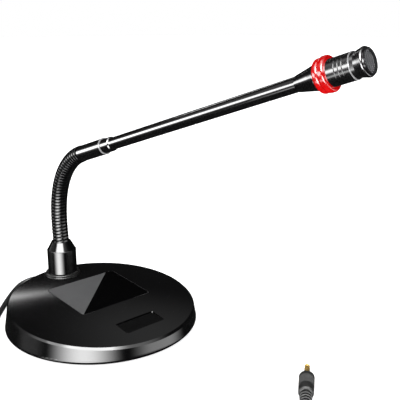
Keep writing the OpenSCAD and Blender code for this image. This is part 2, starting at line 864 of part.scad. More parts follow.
module plug_tip() {
    waist = 2.1;
    bulge = 3.2;
    color("#d3ab4f") on_plug(tip_at) union() {
        translate([0, 0, -9]) cylinder(h = 9, r = 0.65);
        cylinder(h = 0.5, r = jack_r);
        translate([0, 0, 0.5]) cylinder(h = waist - 0.5, r1 = jack_r, r2 = 1.15);
        translate([0, 0, waist]) cylinder(h = bulge - waist, r1 = 1.15, r2 = jack_r);
        translate([0, 0, bulge]) cylinder(h = tip_len - bulge - 0.4, r1 = jack_r, r2 = 0.7);
        translate([0, 0, tip_len - 0.4]) cylinder(h = 0.4, r1 = 0.7, r2 = 0.3);
    }
}

// ---- pieces ----

anti_slip_pad();
base_plate();
base_screws();
ballast_weight();
base_shell();
badge_panel();
talk_button();
switch_plunger();
tact_switch();
circuit_board();
board_screws();
inner_cable();
collar_washer();
collar();
collar_nut();
cord_gland();
neck_link(1);  // neck_link_01
neck_link(2);  // neck_link_02
neck_link(3);  // neck_link_03
neck_link(4);  // neck_link_04
neck_link(5);  // neck_link_05
neck_link(6);  // neck_link_06
neck_link(7);  // neck_link_07
neck_link(8);  // neck_link_08
neck_link(9);  // neck_link_09
neck_link(10);  // neck_link_10
ferrule();
ferrule_ring();
boom_sleeve();
boom_tube();
boom_cable();
rear_cone();
light_ring();
light_strip();
light_chips();
head_barrel();
seam_ring();
front_cap();
grille_ring();
grille_mesh();
foam_disc();
capsule_holder();
mic_capsule();
cord_lead_base();
cord_coil();
coil_tie();
cord_lead_plug();
plug_relief();
plug_handle();
plug_flange();
plug_sleeve();
plug_ring();
plug_tip();
plug_insulators();
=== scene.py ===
"""Looks of the gooseneck podium microphone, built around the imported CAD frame. Metres."""

import json
import math

import bmesh
import bpy
import numpy as np
from mathutils import Matrix, Vector

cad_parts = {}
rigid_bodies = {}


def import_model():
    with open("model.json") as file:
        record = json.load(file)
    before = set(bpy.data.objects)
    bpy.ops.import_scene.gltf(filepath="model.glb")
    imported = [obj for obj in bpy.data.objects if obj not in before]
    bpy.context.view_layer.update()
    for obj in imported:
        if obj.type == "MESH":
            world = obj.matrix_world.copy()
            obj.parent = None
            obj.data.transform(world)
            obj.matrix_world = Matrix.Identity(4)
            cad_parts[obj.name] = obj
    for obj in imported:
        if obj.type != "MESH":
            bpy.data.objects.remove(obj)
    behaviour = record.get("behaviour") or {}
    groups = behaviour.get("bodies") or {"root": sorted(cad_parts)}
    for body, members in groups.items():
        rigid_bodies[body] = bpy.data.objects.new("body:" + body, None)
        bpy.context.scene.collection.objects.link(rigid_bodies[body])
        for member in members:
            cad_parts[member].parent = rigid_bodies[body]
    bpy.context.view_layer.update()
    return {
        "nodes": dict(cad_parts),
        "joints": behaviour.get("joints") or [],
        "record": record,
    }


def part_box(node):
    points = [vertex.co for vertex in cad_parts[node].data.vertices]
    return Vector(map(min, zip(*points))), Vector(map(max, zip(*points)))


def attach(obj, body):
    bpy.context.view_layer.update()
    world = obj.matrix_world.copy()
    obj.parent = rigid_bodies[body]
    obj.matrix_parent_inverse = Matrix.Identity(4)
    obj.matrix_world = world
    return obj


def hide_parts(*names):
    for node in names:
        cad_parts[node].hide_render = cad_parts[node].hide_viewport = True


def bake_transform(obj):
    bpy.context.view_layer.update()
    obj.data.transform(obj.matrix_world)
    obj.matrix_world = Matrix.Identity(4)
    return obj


MM = 0.001
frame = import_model()
record = frame["record"]
scene = bpy.context.scene


# ---- camera ----

CAMERA_AZIMUTH = math.radians(-43.2)
CAMERA_ELEVATION = math.radians(14.85)
CAMERA_DISTANCE = 0.5334
CAMERA_TARGET = Vector((0.100, 0, 0.075))
CAMERA_LENS = 58.5
CAMERA_SENSOR = 36


def direction(azimuth, elevation):
    """The unit vector from the object towards somebody who looks at it from there."""
    flat = math.cos(elevation)
    return Vector((math.sin(azimuth) * flat, -math.cos(azimuth) * flat, math.sin(elevation)))


def add_camera():
    data = bpy.data.cameras.new("camera")
    data.lens = CAMERA_LENS
    data.sensor_width = CAMERA_SENSOR
    data.clip_start = 0.01
    camera = bpy.data.objects.new("camera", data)
    scene.collection.objects.link(camera)
    back = direction(CAMERA_AZIMUTH, CAMERA_ELEVATION)
    camera.location = CAMERA_TARGET + back * CAMERA_DISTANCE
    camera.rotation_euler = back.to_track_quat("Z", "Y").to_euler()
    scene.camera = camera


add_camera()


# ---- places read from the frame ----

def vertices(node):
    return np.array([v.co for v in frame["nodes"][node].data.vertices], float)


def middle(node):
    low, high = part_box(node)
    return (low + high) / 2


def neck_joints():
    """The neck's joint points, from the collar to the boom, and the bodies on their two sides."""
    by_parent = {j["parent"]: j for j in frame["joints"] if j["type"] == "hinge"}
    chain, body = [], "base"
    while body in by_parent:
        joint = by_parent[body]
        chain.append((Vector(joint["pos_m"]), body, joint["child"]))
        body = joint["child"]
    return chain


NECK = neck_joints()
BOOM_AT = NECK[-1][0]
BOOM_AXIS = (middle("grille_ring") - BOOM_AT).normalized()


def about(origin, axis):
    """A frame with +Z along axis and +X level."""
    z = Vector(axis).normalized()
    x = Vector((0, 0, 1)).cross(z)
    x = x.normalized() if x.length > 1e-6 else Vector((1, 0, 0))
    y = z.cross(x)
    m = Matrix((x, y, z)).transposed().to_4x4()
    m.translation = origin
    return m


BOOM = about(BOOM_AT, BOOM_AXIS)


def turned(node, place):
    """(start, end, radius) of a node that is round about a frame's +Z."""
    local = np.array([place.inverted() @ Vector(v) for v in vertices(node)])
    return local[:, 2].min(), local[:, 2].max(), np.hypot(local[:, 0], local[:, 1]).max()


# ---- mesh helpers ----

def new_object(name, mesh):
    made = bpy.data.objects.new(name, mesh)
    scene.collection.objects.link(made)
    return made


def mesh_object(name, points, faces, smooth=True, sharp=math.radians(35)):
    mesh = bpy.data.meshes.new(name)
    mesh.from_pydata([tuple(p) for p in points], [], faces)
    bm = bmesh.new()
    bm.from_mesh(mesh)
    bmesh.ops.recalc_face_normals(bm, faces=bm.faces)
    bm.to_mesh(mesh)
    bm.free()
    if smooth:
        mesh.shade_smooth()
        mesh.set_sharp_from_angle(angle=sharp)
    return new_object(name, mesh)


# ---- materials ----

BLACK = (0.003, 0.003, 0.0032)


class Finish:
    """A procedural material: colour drift, roughness grain and fine bump around one base colour."""

    def __init__(self, name, color, roughness, metallic=0.0, specular=0.5, coat=0.0,
                 coat_roughness=0.05):
        self.material = bpy.data.materials.new(name)
        self.material.use_nodes = True
        self.nodes = self.material.node_tree.nodes
        self.links = self.material.node_tree.links
        self.shader = self.nodes["Principled BSDF"]
        self.shader.inputs["Base Color"].default_value = (*color, 1)
        self.shader.inputs["Roughness"].default_value = roughness
        self.shader.inputs["Metallic"].default_value = metallic
        self.shader.inputs["Specular IOR Level"].default_value = specular
        self.shader.inputs["Coat Weight"].default_value = coat
        self.shader.inputs["Coat Roughness"].default_value = coat_roughness
        self.color = color
        self.roughness = roughness
        self.place = self.nodes.new("ShaderNodeTexCoord").outputs["Object"]
        self.bumped = None

    def noise(self, size, detail=3.0, stretch=(1, 1, 1)):
        """Noise whose lumps are about that size in metres."""
        node = self.nodes.new("ShaderNodeTexNoise")
        node.inputs["Scale"].default_value = 1 / size
        node.inputs["Detail"].default_value = detail
        if stretch == (1, 1, 1):
            self.links.new(self.place, node.inputs["Vector"])
        else:
            mapping = self.nodes.new("ShaderNodeMapping")
            mapping.inputs["Scale"].default_value = stretch
            self.links.new(self.place, mapping.inputs["Vector"])
            self.links.new(mapping.outputs["Vector"], node.inputs["Vector"])
        return node.outputs["Fac"]

    def ranged(self, value, low, high):
        node = self.nodes.new("ShaderNodeMapRange")
        node.inputs["From Min"].default_value = 0.25
        node.inputs["From Max"].default_value = 0.75
        node.inputs["To Min"].default_value = low
        node.inputs["To Max"].default_value = high
        self.links.new(value, node.inputs["Value"])
        return node.outputs["Result"]

    def drift(self, size, amount):
        """The colour drifts lighter and darker by that share over patches of that size."""
        mix = self.nodes.new("ShaderNodeMix")
        mix.data_type = "RGBA"
        mix.inputs["A"].default_value = (*[c * (1 - amount) for c in self.color], 1)
        mix.inputs["B"].default_value = (*[min(1, c * (1 + amount)) for c in self.color], 1)
        self.links.new(self.ranged(self.noise(size), 0, 1), mix.inputs["Factor"])
        self.links.new(mix.outputs["Result"], self.shader.inputs["Base Color"])
        return self

    def worn(self, size, amount, fine=0.0):
        """Roughness varies by amount over patches of that size, as handling leaves it."""
        patches = self.ranged(self.noise(size, 5), self.roughness - amount, self.roughness + amount)
        self.links.new(patches, self.shader.inputs["Roughness"])
        return self

    def bump(self, size, depth, stretch=(1, 1, 1), strength=1.0, detail=2.0):
        """Bump of that size and depth, in metres, on top of any bump so far."""
        node = self.nodes.new("ShaderNodeBump")
        node.inputs["Strength"].default_value = strength
        node.inputs["Distance"].default_value = depth
        self.links.new(self.noise(size, detail, stretch), node.inputs["Height"])
        if self.bumped:
            self.links.new(self.bumped, node.inputs["Normal"])
        self.bumped = node.outputs["Normal"]
        self.links.new(self.bumped, self.shader.inputs["Normal"])
        if self.shader.inputs["Coat Weight"].default_value > 0:
            self.links.new(self.bumped, self.shader.inputs["Coat Normal"])
        return self

    def paint_shade_where(self, layer):
        """Painted shade: no shine where the mesh's own layer of that name says 1, so those places stay
        dark as if shaded.
        """
        node = self.nodes.new("ShaderNodeAttribute")
        node.attribute_name = layer
        shine = self.nodes.new("ShaderNodeMapRange")
        level = self.shader.inputs["Specular IOR Level"]
        shine.inputs["To Min"].default_value = level.default_value
        shine.inputs["To Max"].default_value = 0.0
        self.links.new(node.outputs["Fac"], shine.inputs["Value"])
        self.links.new(shine.outputs["Result"], level)
        return self

    def glow(self, color, strength):
        self.shader.inputs["Emission Color"].default_value = (*color, 1)
        self.shader.inputs["Emission Strength"].default_value = strength
        return self


def satin_shell():
    f = Finish("satin_shell", BLACK, 0.1, specular=0.5)
    return f.drift(30 * MM, 0.12).worn(18 * MM, 0.012).bump(0.35 * MM, 0.0012 * MM).material


def satin_collar():
    f = Finish("satin_collar", BLACK, 0.13, specular=0.55)
    return f.drift(12 * MM, 0.12).worn(6 * MM, 0.02).bump(0.25 * MM, 0.001 * MM).material


def gloss_black():
    f = Finish("gloss_black", BLACK, 0.14, specular=1.0, coat=1.0, coat_roughness=0.12)
    return f.drift(15 * MM, 0.15).worn(8 * MM, 0.02).bump(1.2 * MM, 0.002 * MM).material


def satin_head():
    f = Finish("satin_head", BLACK, 0.22, specular=1.0, coat=1.0, coat_roughness=0.16)
    return f.drift(9 * MM, 0.15).worn(5 * MM, 0.02).bump(0.6 * MM, 0.002 * MM).material


def coil_black():
    f = Finish("coil_black", BLACK, 0.15, specular=0.4)
    # Painted shade: the grooves between the turns lose their shine by the groove layer, as if the turns
    # shaded them.
    f.paint_shade_where("groove")
    return f.drift(3 * MM, 0.15).worn(2 * MM, 0.03).bump(0.3 * MM, 0.001 * MM).material


def button_black():
    f = Finish("button_black", (0.0015, 0.0015, 0.0016), 0.34, specular=0.12)
    return f.drift(6 * MM, 0.3).worn(5 * MM, 0.06).bump(0.22 * MM, 0.006 * MM).material


def tile_black():
    f = Finish("tile_black", (0.0005, 0.0005, 0.0006), 0.22, specular=0.03)
    return f.drift(10 * MM, 0.3).worn(12 * MM, 0.03).bump(0.5 * MM, 0.001 * MM).material


# Painted highlight: the badge body's grey rim around the face stands for the light line along the
# badge's edge.
def tile_edge():
    f = Finish("tile_edge", (0.045, 0.045, 0.046), 0.3, specular=0.4)
    return f.drift(5 * MM, 0.2).worn(4 * MM, 0.04).bump(0.3 * MM, 0.002 * MM).material


# Grey of the painted reflection on the badge's face: the glare of a softbox on the glossy face, painted
# on as colour.
def tile_grey():
    f = Finish("tile_grey", (0.103, 0.104, 0.106), 0.36, specular=0.25)
    return f.drift(14 * MM, 0.06).worn(9 * MM, 0.04).bump(0.2 * MM, 0.002 * MM).material


def rubber(name, color, roughness=0.6, grain=0.3):
    f = Finish(name, color, roughness, specular=0.4)
    return f.drift(8 * MM, 0.25).worn(4 * MM, 0.08).bump(grain * MM, 0.01 * MM).material


def cord_black():
    f = Finish("cord_black", (0.010, 0.010, 0.010), 0.42, specular=0.45)
    return f.drift(20 * MM, 0.25).worn(9 * MM, 0.06).bump(0.5 * MM, 0.006 * MM).material


def metal(name, color, roughness, brush=None, metallic=1.0):
    f = Finish(name, color, roughness, metallic=metallic)
    f.drift(6 * MM, 0.08).worn(3 * MM, 0.05)
    f.bump(0.15 * MM, 0.002 * MM, stretch=brush or (1, 1, 1))
    return f.material


def bright_ring():
    f = Finish("bright_ring", (0.5, 0.5, 0.51), 0.3, metallic=0.4)
    return f.drift(4 * MM, 0.05).worn(3 * MM, 0.05).bump(0.15 * MM, 0.001 * MM).material


def dark_ring():
    f = Finish("dark_ring", (0.05, 0.05, 0.052), 0.2, metallic=0.5)
    return f.drift(4 * MM, 0.1).worn(3 * MM, 0.03).bump(0.15 * MM, 0.001 * MM).material


def cast_iron():
    f = Finish("cast_iron", (0.10, 0.10, 0.105), 0.6, metallic=0.9)
    return f.drift(5 * MM, 0.3).worn(3 * MM, 0.1).bump(0.8 * MM, 0.05 * MM).material


def board_green():
    f = Finish("board_green", (0.012, 0.09, 0.035), 0.35)
    return f.drift(2 * MM, 0.35).worn(3 * MM, 0.05).bump(0.6 * MM, 0.01 * MM).material


def plain_plastic(name, color, roughness=0.4):
    f = Finish(name, color, roughness)
    return f.drift(5 * MM, 0.1).worn(3 * MM, 0.05).bump(0.3 * MM, 0.004 * MM).material


def light_red():
    f = Finish("light_red", (0.55, 0.001, 0.0015), 0.14, specular=0.6, coat=0.6)
    f.shader.inputs["Subsurface Weight"].default_value = 0.1
    f.shader.inputs["Subsurface Radius"].default_value = (2 * MM, 0.3 * MM, 0.3 * MM)
    f.drift(4 * MM, 0.12).worn(3 * MM, 0.03).bump(0.8 * MM, 0.006 * MM)
    return f.glow((1.0, 0.001, 0.002), 0.12).material


def woven_tie():
    f = Finish("woven_tie", (0.012, 0.012, 0.012), 0.85, specular=0.2)
    return f.drift(2 * MM, 0.3).bump(0.5 * MM, 0.08 * MM, stretch=(1, 3, 3)).material


def foam_black():
    f = Finish("foam_black", (0.02, 0.02, 0.02), 0.95, specular=0.1)
    return f.drift(1 * MM, 0.4).bump(0.5 * MM, 0.2 * MM).material


FINISHES = {
    "pad_rubber": rubber("pad_rubber", (0.02, 0.02, 0.02), 0.75, 0.6),
    "plate_steel": metal("plate_steel", (0.45, 0.46, 0.48), 0.35, (1, 8, 1)),
    "screw_steel": metal("screw_steel", (0.55, 0.56, 0.58), 0.28),
    "ballast_iron": cast_iron(),
    "shell_black": satin_shell(),
    "badge_tile": tile_black(),
    "button_black": button_black(),
    "plunger_white": plain_plastic("plunger_white", (0.75, 0.74, 0.70)),
    "switch_black": plain_plastic("switch_black", (0.03, 0.03, 0.033)),
    "board_green": board_green(),
    "cable_black": rubber("cable_black", (0.012, 0.012, 0.012), 0.5),
    "washer_black": rubber("washer_black", (0.006, 0.006, 0.006), 0.3, 0.5),
    "collar_black": satin_collar(),
    "gland_rubber": rubber("gland_rubber", (0.010, 0.010, 0.010), 0.45),
    "coil_black": coil_black(),
    "boom_black": gloss_black(),
    "bright_ring": bright_ring(),
    "light_red": light_red(),
    "strip_white": plain_plastic("strip_white", (0.75, 0.75, 0.72)),
    "chip_lamp": plain_plastic("chip_lamp", (0.9, 0.7, 0.65), 0.2),
    "head_black": satin_head(),
    "mesh_steel": metal("mesh_steel", (0.045, 0.045, 0.047), 0.3),
    "foam_black": foam_black(),
    "holder_rubber": rubber("holder_rubber", (0.012, 0.012, 0.012)),
    "capsule_metal": metal("capsule_metal", (0.65, 0.65, 0.67), 0.3),
    "cord_black": cord_black(),
    "tie_black": woven_tie(),
    "handle_rubber": rubber("handle_rubber", (0.012, 0.012, 0.012), 0.5, 0.25),
    "plug_gold": metal("plug_gold", (0.80, 0.52, 0.15), 0.26, metallic=0.6),
    "plug_black": plain_plastic("plug_black", (0.008, 0.008, 0.008), 0.3),
}
SLOT_OF = {s["node"]: s["material_slot"] for s in record["subparts"]}


def paint(piece, slot):
    piece.data.materials.clear()
    piece.data.materials.append(FINISHES[slot])
    return piece


for node_name, node in frame["nodes"].items():
    node.data.materials.clear()
    node.data.materials.append(FINISHES[SLOT_OF[node_name]])
frame["nodes"]["grille_ring"].data.materials[0] = dark_ring()


# ---- the free cord, its route in millimetres as in part.scad ----

CORD_R = 2 * MM
EXIT_H = 8.5
COIL_MID = (-50, -171)
COIL_OUT_R = 29
COIL_IN_R = 12.6
LAYER_1, LAYER_2 = 2.6, 6.7
TURNS_IN, TURNS_UP, TURNS_OUT = 4, 0.5, 3.75
POINTS_PER_TURN = 28
STEPS_PER_POINT = 3
PLUG_H = 4.9
EXIT_Y = 83
LEAD_BASE = [
    (0, 68, EXIT_H), (0, 76, EXIT_H), (0, EXIT_Y, EXIT_H), (-0.8, 88.5, 8.2), (-4, 93.5, 7.2),
    (-10, 96, 5.8), (-16.5, 95.3, 4.3), (-23, 91.5, 3), (-30, 85.3, 2.2), (-37, 78, 2),
    (-44, 70, 2), (-51, 62, 2), (-58, 53.5, 2), (-65, 44.5, 2),
    (-72, 35, 2), (-79, 24.5, 2), (-86, 12.5, 2), (-93, -1.5, 2),
    (-100, -16.5, 2), (-106.5, -32, 2), (-111.5, -48, 2), (-113, -65, 2),
    (-110, -82, 2), (-104, -98.5, 2), (-96.5, -115, 2), (-88.5, -132.5, 2),
    (-82, -151, 2.2),
]
LEAD_PLUG = [
    (-42, -200.2, 6), (-34, -199.8, 4.6), (-26, -198.6, 3.4), (-18.5, -196.4, 2.7),
    (-11.5, -193.4, 2.5), (-4.5, -189.7, 2.9), (1.6, -186.4, 3.8), (7.2, -183.4, 4.6),
    (12.3, -180.1, PLUG_H), (16.4, -177.1, PLUG_H),
]


def coil_route():
    """Two flat layers of turns: inwards on the floor, up at the middle, outwards on top."""
    points = []
    for k in range(round((TURNS_IN + TURNS_UP + TURNS_OUT) * POINTS_PER_TURN) + 1):
        t = k / POINTS_PER_TURN
        a = math.pi + 2 * math.pi * t
        r = COIL_OUT_R + (COIL_IN_R - COIL_OUT_R) * min(1, t / TURNS_IN)
        r += (COIL_OUT_R - COIL_IN_R) * max(0, t - TURNS_IN - TURNS_UP) / TURNS_OUT
        rise = min(1, max(0, (t - TURNS_IN) / TURNS_UP))
        rise = rise * rise * (3 - 2 * rise)
        z = LAYER_1 + (LAYER_2 - LAYER_1) * rise
        points.append((COIL_MID[0] + r * math.cos(a), COIL_MID[1] + r * math.sin(a), z))
    return points


def smooth_line(points, steps):
    """A smooth line through the points, as part.scad draws it."""
    p = [Vector(q) for q in points]
    line = []
    for i in range(len(p) - 1):
        a, b, c, d = p[max(i - 1, 0)], p[i], p[i + 1], p[min(i + 2, len(p) - 1)]
        for k in range(steps):
            t = k / steps
            line.append(0.5 * (2 * b + (c - a) * t + (2 * a - 5 * b + 4 * c - d) * t * t
                               + (3 * b - a - 3 * c + d) * t ** 3))
    return line + [p[-1]]


def make_cord():
    line = [p * MM for p in smooth_line(LEAD_BASE + coil_route() + LEAD_PLUG, STEPS_PER_POINT)]
    curve = bpy.data.curves.new("cord", "CURVE")
    curve.dimensions = "3D"
    curve.bevel_depth = CORD_R
    curve.bevel_resolution = 5
    curve.use_fill_caps = True
    spline = curve.splines.new("POLY")
    spline.points.add(len(line) - 1)
    for point, at in zip(spline.points, line):
        point.co = (*at, 1)
    spline.use_smooth = True
    flex = paint(new_object("cord", curve), "cord_black")
    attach(flex, "base")
    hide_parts("cord_lead_base", "cord_coil", "cord_lead_plug")


make_cord()


# ---- coil neck ----

COIL_PITCH = 2.65 * MM
COIL_DEPTH = 0.55 * MM
CROWN = 0.6             # share of a turn's width that its crown takes; the rest is groove
CROWN_SINK = 0.06       # how far the crown rounds down, as a share of the depth
# GROOVE_SHADE sets a painted shade: how fast the grooves lose their shine below the crown's edge.
GROOVE_SHADE = 4        # how fast the groove loses its shine below the crown's edge
COIL_PROUD = 0.2 * MM   # how far the crowns stand out of the CAD's plain links
NECK_BORE_R = 3.4 * MM
IN_COLLAR = 3 * MM
ROWS_PER_COIL = 14
COLUMNS = 44


def neck_line():
    """Points and headings along the neck, through its joints, with the row that each joint is at."""
    p = [joint[0] for joint in NECK]
    heads = [(b - a).normalized() for a, b in zip(p, p[1:])]
    bends = [heads[0]] + [(a + b).normalized() for a, b in zip(heads, heads[1:])]
    bends.append((heads[-1] + BOOM_AXIS).normalized())
    step = COIL_PITCH / ROWS_PER_COIL
    rows = [(p[0] - bends[0] * (IN_COLLAR - k * step), bends[0]) for k in range(round(IN_COLLAR / step))]
    joint_rows = []
    for i in range(len(p) - 1):
        joint_rows.append(len(rows))
        size = (p[i + 1] - p[i]).length
        count = 2 * round(size / step / 2)
        for k in range(count):
            t = k / count
            at = (p[i] * (2 * t ** 3 - 3 * t * t + 1) + bends[i] * size * (t ** 3 - 2 * t * t + t)
                  + p[i + 1] * (3 * t * t - 2 * t ** 3) + bends[i + 1] * size * (t ** 3 - t * t))
            head = (p[i] * (6 * t * t - 6 * t) + bends[i] * size * (3 * t * t - 4 * t + 1)
                    + p[i + 1] * (6 * t - 6 * t * t) + bends[i + 1] * size * (3 * t * t - 2 * t))
            rows.append((at, head.normalized()))
    joint_rows.append(len(rows))
    rows.append((p[-1], bends[-1]))
    return rows, joint_rows


def neck_grid(rows, outer_r):
    """The wound outside of the neck as rows of points, and where the grooves are: one ridge with
    a nearly flat crown climbs as a helix."""
    side = Vector(next(j["axis"] for j in frame["joints"] if j["child"] == "boom"))
    grid = np.zeros((len(rows), COLUMNS, 3))
    groove = np.zeros((len(rows), COLUMNS))
    travelled = 0.0
    for i, (at, head) in enumerate(rows):
        if i:
            travelled += (at - rows[i - 1][0]).length
        up = head.cross(side).normalized()
        for k in range(COLUMNS):
            turn = k / COLUMNS
            x = (travelled / COIL_PITCH - turn) % 1.0
            off = abs(2 * x - 1)
            groove[i, k] = max(0.0, (off - CROWN) / (1 - CROWN))
            r = outer_r - COIL_DEPTH * (CROWN_SINK * off * off + (1 - CROWN_SINK) * groove[i, k])
            a = 2 * math.pi * turn
            grid[i, k] = at + (side * math.cos(a) + up * math.sin(a)) * r
    return grid, groove


def grid_normals(grid):
    along = np.gradient(grid, axis=0)
    around = np.roll(grid, -1, axis=1) - np.roll(grid, 1, axis=1)
    n = np.cross(around, along)
    n /= np.maximum(np.linalg.norm(n, axis=2, keepdims=True), 1e-12)
    return n


def neck_piece(number, rows, grid, groove, normals, first, last):
    """A closed sleeve of the neck between two rows, with the helix outside and a plain bore inside."""
    count = last - first + 1
    outside = grid[first:last + 1]
    centre = np.array([rows[i][0] for i in range(first, last + 1)])[:, None, :]
    spoke = outside - centre
    inside = centre + spoke / np.linalg.norm(spoke, axis=2, keepdims=True) * NECK_BORE_R
    points = np.concatenate([outside.reshape(-1, 3), inside.reshape(-1, 3)])
    faces, shift = [], count * COLUMNS
    for i in range(count - 1):
        for k in range(COLUMNS):
            a, b = i * COLUMNS + k, i * COLUMNS + (k + 1) % COLUMNS
            faces.append((a, b, b + COLUMNS, a + COLUMNS))
    for i in range(count - 1):
        for k in range(COLUMNS):
            a, b = i * COLUMNS + k, i * COLUMNS + (k + 1) % COLUMNS
            faces.append((shift + a, shift + a + COLUMNS, shift + b + COLUMNS, shift + b))
    for k in range(COLUMNS):
        a, b = k, (k + 1) % COLUMNS
        faces.append((a, shift + a, shift + b, b))
        a, b = a + (count - 1) * COLUMNS, b + (count - 1) * COLUMNS
        faces.append((a, b, shift + b, shift + a))
    mesh = bpy.data.meshes.new(f"neck_coil_{number:02d}")
    mesh.from_pydata(points.tolist(), [], faces)
    mesh.shade_smooth()
    own = normals[first:last + 1].reshape(-1, 3)
    custom = np.zeros((len(mesh.loops), 3))
    outer_faces = (count - 1) * COLUMNS
    for polygon in mesh.polygons[:outer_faces]:
        for loop in polygon.loop_indices:
            custom[loop] = own[mesh.loops[loop].vertex_index]
    for polygon in mesh.polygons[outer_faces:]:
        for loop in polygon.loop_indices:
            custom[loop] = polygon.normal
    mesh.normals_split_custom_set(custom.tolist())
    # Painted shade for the grooves, which the material reads to take their shine away.
    layer = mesh.attributes.new("groove", "FLOAT", "POINT")
    depth = np.minimum(1.0, groove[first:last + 1].reshape(-1) * GROOVE_SHADE)
    layer.data.foreach_set("value", np.concatenate([depth, np.ones(len(depth))]))
    return paint(new_object(mesh.name, mesh), "coil_black")


def make_neck():
    links = ["neck_link_%02d" % (i + 1) for i in range(len(NECK) - 1)]
    outer_r = turned(links[0], about(NECK[0][0], NECK[1][0] - NECK[0][0]))[2] + COIL_PROUD
    rows, joint_rows = neck_line()
    grid, groove = neck_grid(rows, outer_r)
    normals = grid_normals(grid)
    if np.einsum("k,k", normals[5, 0], grid[5, 0] - np.array(rows[5][0])) < 0:
        normals = -normals
    halfway = [(a + b) // 2 for a, b in zip(joint_rows, joint_rows[1:])]
    borders = [0] + halfway + [len(rows) - 1]
    for k, (at, below, above) in enumerate(NECK):
        first, last = borders[k], borders[k + 1]
        piece = neck_piece(k + 1, rows, grid, groove, normals, first, last)
        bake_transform(piece)
        if k < len(links):
            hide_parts(links[k])


make_neck()


# ---- badge ----

BADGE_CORNER = 3 * MM
BADGE_RIM = 0.45 * MM
BADGE_FACE_T = 0.25 * MM
BADGE_SUNK = 0.03 * MM
# BADGE_SPLIT: the light tone of the face is a painted reflection, a softbox glare painted on as grey;
# this is where its edge meets the rear edge.
BADGE_SPLIT = 0.80      # where the border between the tones ends on the rear edge, of half the width
FACE_BEVEL = 0.12 * MM
BODY_BEVEL = 0.05 * MM
PRESS = next(j for j in frame["joints"] if j["name"] == "button_press")
TOP_UP = -Vector(PRESS["axis"])


def top_frame(at):
    """A frame on the tilted top: +X to the right, +Z out of the face."""
    x = Vector((1, 0, 0))
    y = TOP_UP.cross(x).normalized()
    m = Matrix((x, y, TOP_UP)).transposed().to_4x4()
    m.translation = at
    return m


def rounded_outline(x, y, r, steps=8):
    """A rectangle of half sizes x and y with its corners rounded to r."""
    points = []
    corners = ((x - r, y - r), (r - x, y - r), (r - x, r - y), (x - r, r - y))
    for quarter, (cx, cy) in enumerate(corners):
        for k in range(steps + 1):
            a = math.radians(90 * quarter + 90 * k / steps)
            points.append(Vector((cx + r * math.cos(a), cy + r * math.sin(a))))
    return points


def cut_outline(points, at, normal):
    """The part of a convex outline on the side that normal points to."""
    kept = []
    for a, b in zip(points, points[1:] + points[:1]):
        da, db = (a - at).dot(normal), (b - at).dot(normal)
        if da >= 0:
            kept.append(a)
        if da * db < 0:
            kept.append(a + (b - a) * (da / (da - db)))
    return kept


def tile(name, outline, low, high, bevel, place, slot):
    """A flat tile with bevelled upper edges, from an outline in the frame's XY plane."""
    middle_2d = sum(outline, Vector((0, 0))) / len(outline)
    inner = []
    for p, before, after in zip(outline, outline[-1:] + outline[:-1], outline[1:] + outline[:1]):
        edge = (after - before).normalized()
        inward = Vector((-edge.y, edge.x))
        if inward.dot(middle_2d - p) < 0:
            inward = -inward
        inner.append(p + inward * bevel)
    n = len(outline)
    layers = [(outline, low), (outline, high - bevel), (inner, high)]
    points = [place @ Vector((p.x, p.y, z)) for ring, z in layers for p in ring]
    faces = [tuple(range(n))[::-1], tuple(range(2 * n, 3 * n))]
    for layer in range(2):
        for k in range(n):
            a, b = layer * n + k, layer * n + (k + 1) % n
            faces.append((a, b, b + n, a + n))
    piece = paint(mesh_object(name, points, faces, sharp=math.radians(25)), slot)
    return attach(piece, "base")


def make_badge():
    place = top_frame(middle("badge_panel"))
    local = np.array([place.inverted() @ Vector(v) for v in vertices("badge_panel")])
    half_x, half_y, half_t = (local.max(0) - local.min(0)) / 2
    corner, rear = Vector((-half_x, -half_y)), Vector((BADGE_SPLIT * half_x, half_y))
    across = Vector((-(rear - corner).y, (rear - corner).x)).normalized()
    whole = rounded_outline(half_x, half_y, BADGE_CORNER)
    body = tile("badge_body", whole, -half_t, half_t - BADGE_FACE_T, BODY_BEVEL, place, "badge_tile")
    # Painted highlight: the body's rim is lighter grey than the face, for the light line along the edge.
    body.data.materials[0] = tile_edge()
    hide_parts("badge_panel")
    inside = rounded_outline(half_x - BADGE_RIM, half_y - BADGE_RIM, BADGE_CORNER - BADGE_RIM)
    low, high = half_t - BADGE_FACE_T, half_t - BADGE_SUNK
    tile("badge_dark_face", cut_outline(inside, corner, -across), low, high, FACE_BEVEL, place,
         "badge_tile")
    # Painted reflection: the light face beside the diagonal is grey to stand for a softbox glare on the
    # glossy badge; the dark face is the badge's own black.
    light = tile("badge_light_face", cut_outline(inside, corner, across), low, high, FACE_BEVEL,
                 place, "badge_tile")
    light.data.materials[0] = tile_grey()


make_badge()


# ---- head ----

WIRE_R = 0.2 * MM
WIRE_PITCH = 0.98 * MM
WIRE_SIDES = 6
WIRE_STEP = 0.13 * MM
GRILLE_DOME = 0.22 * MM
GRILLE_SUNK = 0.05 * MM
GRILLE_GAP = 0.1 * MM


